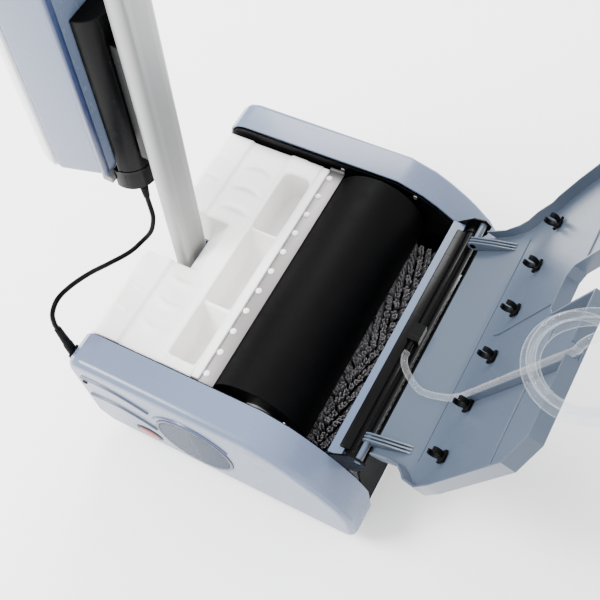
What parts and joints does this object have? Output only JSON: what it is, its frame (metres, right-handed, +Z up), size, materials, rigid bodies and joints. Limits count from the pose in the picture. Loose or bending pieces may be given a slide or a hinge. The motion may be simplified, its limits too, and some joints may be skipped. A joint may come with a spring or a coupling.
{
  "type": "wet dry floor scrubber",
  "caption": "Walk-behind floor washer with counter-turning brushes, a pick-up drum, a hinged lid, a lift-off dirty water tank and a tilting post with a clean water tank.",
  "frame": {"origin": "centre of the footprint on the floor, half way along the open lid and the handle's rear", "axes": "+Z up; +X to the right of an operator who faces the front, from the grilled casing to the plain one; +Y from the working front to the operator"},
  "size_m": [0.5318, 0.8747, 1.1617],
  "materials": {
    "casing_blue": "gloss",
    "tank_white": "satin",
    "black_plastic": "satin",
    "grey_plastic": "matte",
    "scraper_steel": "brushed",
    "frame_steel": "satin",
    "post_alloy": "satin",
    "drum_black": "satin",
    "bristle_grey": "matte",
    "rubber_black": "matte",
    "clear_tube": "gloss",
    "signal_red": "gloss"
  },
  "bodies": {
    "chassis": {"near_casing": "casing_blue", "far_casing": "casing_blue", "fan_grille": "grey_plastic", "near_plate": "black_plastic", "far_plate": "black_plastic", "bearing_carrier": "black_plastic", "gear_case": "black_plastic", "drive_motor": "post_alloy", "front_crossbar": "frame_steel", "rear_crossbar": "frame_steel", "tank_shelf": "frame_steel", "splash_strip": "rubber_black", "spray_bar": "black_plastic", "bar_cap_near": "black_plastic", "bar_cap_far": "black_plastic", "spray_inlet": "black_plastic", "pivot_pin": "scraper_steel", "wheel_axle": "scraper_steel", "badge_plate": "signal_red", "cable_gland": "black_plastic", "signal_cable": "black_plastic"},
    "front_brush": {"front_brush_core": "black_plastic", "front_brush_bristles": "bristle_grey"},
    "rear_brush": {"rear_brush_core": "black_plastic", "rear_brush_bristles": "bristle_grey"},
    "drum": {"drum_shell": "drum_black", "drum_hub_near": "black_plastic", "drum_hub_far": "black_plastic"},
    "lid": {"lid_panel": "casing_blue", "hinge_arm_near": "casing_blue", "hinge_arm_far": "casing_blue", "tube_channel": "casing_blue", "lid_clip_1": "black_plastic", "lid_clip_2": "black_plastic", "lid_clip_3": "black_plastic", "lid_clip_4": "black_plastic", "lid_clip_5": "black_plastic", "lid_clip_6": "black_plastic", "solution_tube": "clear_tube", "tube_coil": "clear_tube", "tube_fitting": "clear_tube"},
    "recovery": {"recovery_tank": "tank_white", "scraper_rail": "tank_white", "scraper_strip": "scraper_steel"},
    "latch": {"park_latch": "black_plastic"},
    "handle": {"handle_post": "post_alloy", "pump_housing": "black_plastic", "pump_collar": "black_plastic", "post_clamp": "black_plastic", "pump_side_block": "grey_plastic", "grip_head": "black_plastic", "grip_loop": "black_plastic", "strain_relief": "black_plastic"},
    "solution": {"solution_tank": "casing_blue", "tank_cover": "tank_white"},
    "cap": {"filler_cap": "black_plastic"},
    "lever": {"drive_lever": "signal_red"},
    "button": {"water_button": "grey_plastic"},
    "near_wheel": {"wheel_near": "rubber_black"},
    "far_wheel": {"wheel_far": "rubber_black"}
  },
  "joints": [
    {"name": "front_brush_spin", "type": "hinge", "parent": "chassis", "child": "front_brush", "pos_m": [0, -0.07, 0.0537], "axis": [1, 0, 0], "continuous": true},
    {"name": "rear_brush_spin", "type": "hinge", "parent": "chassis", "child": "rear_brush", "pos_m": [0, 0.084, 0.0537], "axis": [1, 0, 0], "continuous": true},
    {"name": "drum_spin", "type": "hinge", "parent": "chassis", "child": "drum", "pos_m": [0, 0.007, 0.16], "axis": [1, 0, 0], "continuous": true},
    {"name": "lid_hinge", "type": "hinge", "parent": "chassis", "child": "lid", "pos_m": [0, -0.163, 0.2], "axis": [1, 0, 0], "range_deg": [-116, 0], "deforming": ["solution_tube", "tube_coil", "tube_fitting"]},
    {"name": "tank_lift", "type": "slide", "parent": "chassis", "child": "recovery", "axis": [0, -0.1045, 0.9945], "range_m": [0, 0.16]},
    {"name": "latch_pedal", "type": "hinge", "parent": "chassis", "child": "latch", "pos_m": [0.06, 0.276, 0.098], "axis": [1, 0, 0], "range_deg": [-18, 0], "stiffness_Nm_per_rad": 0.3, "springref_deg": 5.73},
    {"name": "handle_tilt", "type": "hinge", "parent": "chassis", "child": "handle", "pos_m": [0, 0.247, 0.105], "axis": [1, 0, 0], "range_deg": [-50, 0], "deforming": ["signal_cable"]},
    {"name": "solution_tank_lift", "type": "slide", "parent": "handle", "child": "solution", "axis": [0, -0.1045, 0.9945], "range_m": [0, 0.12]},
    {"name": "cap_turn", "type": "hinge", "parent": "solution", "child": "cap", "pos_m": [0, 0.28897, 0.75324], "axis": [0, -0.1045, 0.9945], "continuous": true},
    {"name": "lever_squeeze", "type": "hinge", "parent": "handle", "child": "lever", "pos_m": [0, 0.18506, 1.03391], "axis": [1, 0, 0], "range_deg": [0, 6], "stiffness_Nm_per_rad": 1, "springref_deg": -5.73},
    {"name": "button_press", "type": "slide", "parent": "handle", "child": "button", "axis": [0, 0.9945, 0.1045], "range_m": [0, 0.0028], "stiffness_N_per_m": 300, "springref_m": -0.002},
    {"name": "near_wheel_spin", "type": "hinge", "parent": "chassis", "child": "near_wheel", "pos_m": [-0.168, 0.244, 0.03], "axis": [1, 0, 0], "continuous": true},
    {"name": "far_wheel_spin", "type": "hinge", "parent": "chassis", "child": "far_wheel", "pos_m": [0.168, 0.244, 0.03], "axis": [1, 0, 0], "continuous": true}
  ],
  "couplings": [
    {"joint": "rear_brush_spin", "follows": "front_brush_spin", "ratio": -1},
    {"joint": "drum_spin", "follows": "front_brush_spin", "ratio": 0.2}
  ]
}
